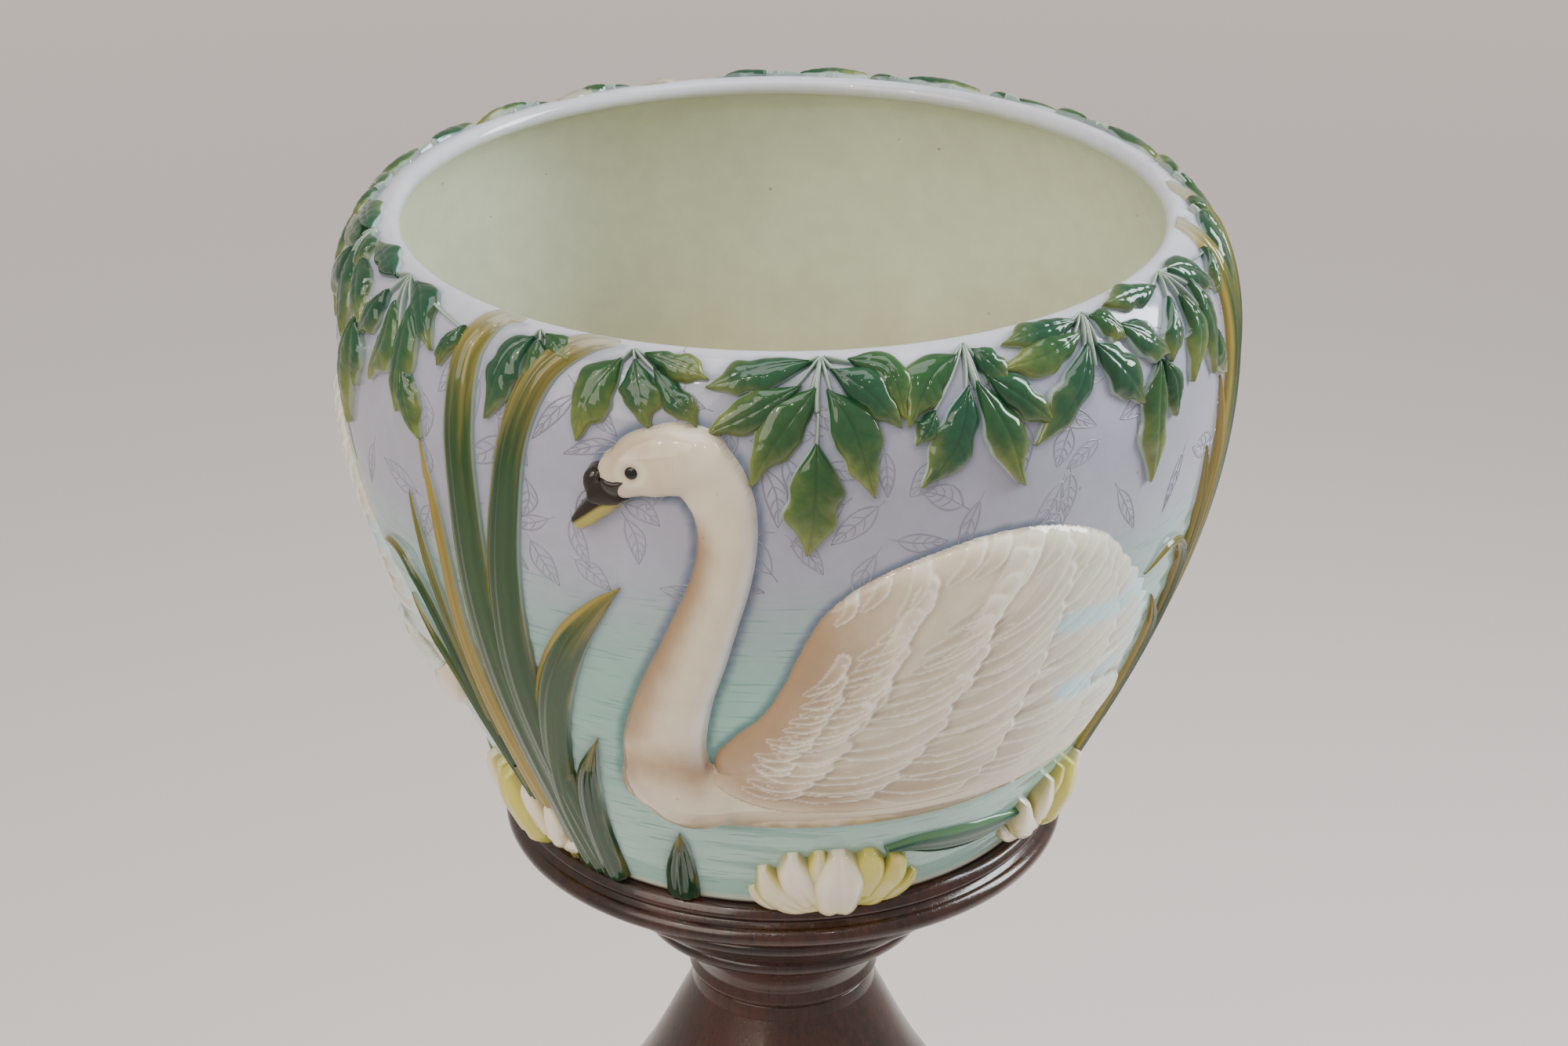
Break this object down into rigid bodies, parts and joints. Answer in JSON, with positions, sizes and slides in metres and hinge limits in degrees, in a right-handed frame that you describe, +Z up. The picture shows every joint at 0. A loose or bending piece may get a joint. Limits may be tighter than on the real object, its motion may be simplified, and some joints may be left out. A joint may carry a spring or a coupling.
{
  "type": "jardiniere on stand",
  "caption": "Large glazed earthenware plant bowl moulded with swans, reeds and leaves, standing loose on a turned mahogany pedestal with bun feet.",
  "frame": {"origin": "on the floor, on the pedestal's axis", "axes": "+Z up along the axis that the pedestal and the bowl are turned on; -Y is the front, with one swan facing to the viewer's left"},
  "size_m": [0.3752, 0.3736, 1.0243],
  "materials": {
    "glaze": "glossy coloured glazes over moulded earthenware",
    "mahogany": "dark french polish",
    "beech": "bare wood",
    "steel": "dull, slightly oxidised"
  },
  "bodies": {
    "stand": {"top_board": "mahogany", "moulded_collar": "mahogany", "urn_column": "mahogany", "knop_ring": "mahogany", "trumpet_stem": "mahogany", "base_step": "mahogany", "base_plinth": "mahogany", "bun_foot_1": "mahogany", "bun_foot_2": "mahogany", "bun_foot_3": "mahogany", "top_tenon_wedge": "beech", "low_tenon_wedge": "beech", "coach_screw": "steel", "coach_screw_washer": "steel", "board_screw_1": "steel", "board_screw_2": "steel", "board_screw_3": "steel", "plinth_screw_1": "steel", "plinth_screw_2": "steel", "plinth_screw_3": "steel"},
    "jardiniere": {"jardiniere_bowl": "glaze"}
  },
  "joints": [
    {"name": "lift_off", "type": "slide", "parent": "stand", "child": "jardiniere", "axis": [0, 0, 1], "range_m": [0, 0.3]}
  ]
}
